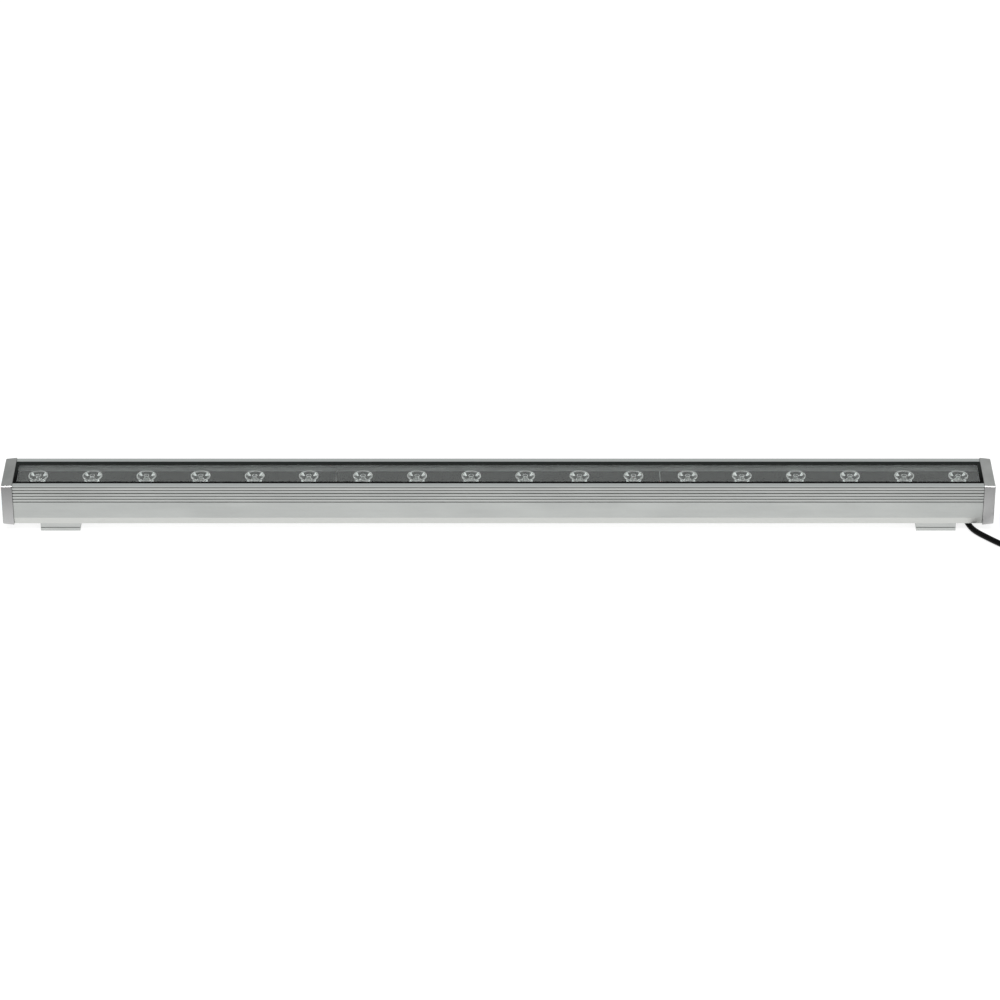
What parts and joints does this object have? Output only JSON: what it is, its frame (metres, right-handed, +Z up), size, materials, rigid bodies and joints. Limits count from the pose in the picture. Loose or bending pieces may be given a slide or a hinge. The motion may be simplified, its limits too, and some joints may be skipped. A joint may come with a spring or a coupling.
{
  "type": "led strip batten",
  "caption": "Slim aluminium LED wash bar with a recessed glass window over a row of lenses, grooved sides, end caps, sliding hinged feet and a coiled mains lead.",
  "frame": {"origin": "middle of the batten's footprint, on the surface that its feet stand on", "axes": "+X along the batten towards its cable end, -Y its front, +Z up, the way it shines"},
  "size_m": [1.1937, 0.1136, 0.0536],
  "materials": {
    "anodised_profile": "satin anodised, drawn lengthwise",
    "cap_metal": "satin, fine bead blast",
    "gasket_rubber": "matt",
    "screw_steel": "plain stainless",
    "glass": "clear float glass",
    "seal_rubber": "matt black silicone",
    "emitter": "clear dome over pale phosphor",
    "black_screw": "black zinc",
    "insulator": "plain sheet",
    "driver_laminate": "solder mask",
    "transformer": "taped winding",
    "driver_part": "moulded",
    "feed_wire": "insulated wire",
    "mains_core": "insulated wire",
    "gland_nylon": "moulded nylon",
    "boot_rubber": "satin moulded",
    "cord_jacket": "satin black jacket",
    "tie_plastic": "plain",
    "plug_plastic": "fine moulded texture",
    "plug_metal": "nickel plated",
    "led_laminate": "black solder mask",
    "lens_holder": "clear to pale moulded",
    "lens_acrylic": "clear moulded acrylic",
    "foot_metal": "satin anodised, drawn lengthwise"
  },
  "bodies": {
    "root": {"housing": "anodised_profile", "end_cap_left": "cap_metal", "end_cap_right": "cap_metal", "end_gasket_left": "gasket_rubber", "end_gasket_right": "gasket_rubber", "cap_screws_left": "screw_steel", "cap_screws_right": "screw_steel", "glass_cover": "glass", "glass_seal": "seal_rubber", "led_board_left": "led_laminate", "led_board_middle": "led_laminate", "led_board_right": "led_laminate", "lens_holders_left": "lens_holder", "lens_holders_middle": "lens_holder", "lens_holders_right": "lens_holder", "led_emitters": "emitter", "board_screws": "black_screw", "lens_01": "lens_acrylic", "lens_02": "lens_acrylic", "lens_03": "lens_acrylic", "lens_04": "lens_acrylic", "lens_05": "lens_acrylic", "lens_06": "lens_acrylic", "lens_07": "lens_acrylic", "lens_08": "lens_acrylic", "lens_09": "lens_acrylic", "lens_10": "lens_acrylic", "lens_11": "lens_acrylic", "lens_12": "lens_acrylic", "lens_13": "lens_acrylic", "lens_14": "lens_acrylic", "lens_15": "lens_acrylic", "lens_16": "lens_acrylic", "lens_17": "lens_acrylic", "lens_18": "lens_acrylic", "driver_insulator": "insulator", "driver_board": "driver_laminate", "driver_transformer": "transformer", "driver_parts": "driver_part", "board_wires": "feed_wire", "mains_wires": "mains_core", "cable_gland": "gland_nylon", "gland_nut": "gland_nylon", "cable_boot": "boot_rubber", "cord_lead": "cord_jacket", "cord_coil": "cord_jacket", "cord_tail": "cord_jacket", "coil_tie": "tie_plastic", "plug_body": "plug_plastic", "plug_pins": "plug_metal"},
    "left_foot": {"bracket_left_leaf": "foot_metal", "bracket_left_pin": "screw_steel", "bracket_left_screws": "screw_steel", "bracket_left_nuts": "screw_steel"},
    "left_foot_base": {"bracket_left_base": "foot_metal"},
    "right_foot": {"bracket_right_leaf": "foot_metal", "bracket_right_pin": "screw_steel", "bracket_right_screws": "screw_steel", "bracket_right_nuts": "screw_steel"},
    "right_foot_base": {"bracket_right_base": "foot_metal"}
  },
  "joints": [
    {"name": "left_foot_slide", "type": "slide", "parent": "root", "child": "left_foot", "axis": [1, 0, 0], "range_m": [-0.02, 0.415]},
    {"name": "left_foot_hinge", "type": "hinge", "parent": "left_foot", "child": "left_foot_base", "pos_m": [-0.4425, 0.02495, 0.00385], "axis": [1, 0, 0], "range_deg": [0, 120]},
    {"name": "right_foot_slide", "type": "slide", "parent": "root", "child": "right_foot", "axis": [1, 0, 0], "range_m": [-0.415, 0.002]},
    {"name": "right_foot_hinge", "type": "hinge", "parent": "right_foot", "child": "right_foot_base", "pos_m": [0.4425, 0.02495, 0.00385], "axis": [1, 0, 0], "range_deg": [0, 120]}
  ]
}
